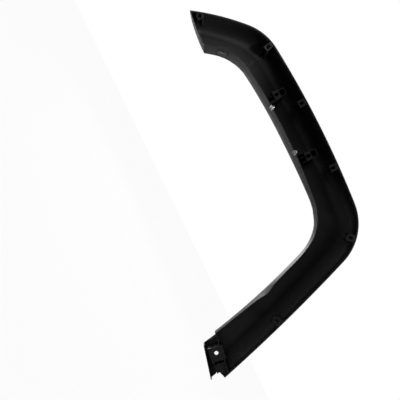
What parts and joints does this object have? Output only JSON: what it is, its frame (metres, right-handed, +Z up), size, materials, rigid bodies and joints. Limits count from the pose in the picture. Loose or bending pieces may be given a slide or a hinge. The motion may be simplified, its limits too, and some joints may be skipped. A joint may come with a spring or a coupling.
{
  "type": "wheel arch trim",
  "caption": "Moulded black wheel arch trim: a U-channel bent round the wheel opening, closed at both ends, with slotted clip towers, a screw tab and sheet steel liner nuts on its lip.",
  "frame": {"origin": "middle of the screw hole in the rear end's tab, on the plane that meets the body side", "axes": "as on the car, for the front right-hand wheel: +X to the rear of the car, +Y outboard away from the body side, +Z up"},
  "size_m": [0.9334, 0.082, 0.5655],
  "materials": {
    "moulding": "black moulded polypropylene, satin inside and finely grained outside",
    "nut_steel": "zinc plated sheet steel"
  },
  "bodies": {
    "root": {"arch_trim": "moulding", "front_liner_nut": "nut_steel", "rear_liner_nut": "nut_steel"}
  },
  "joints": []
}
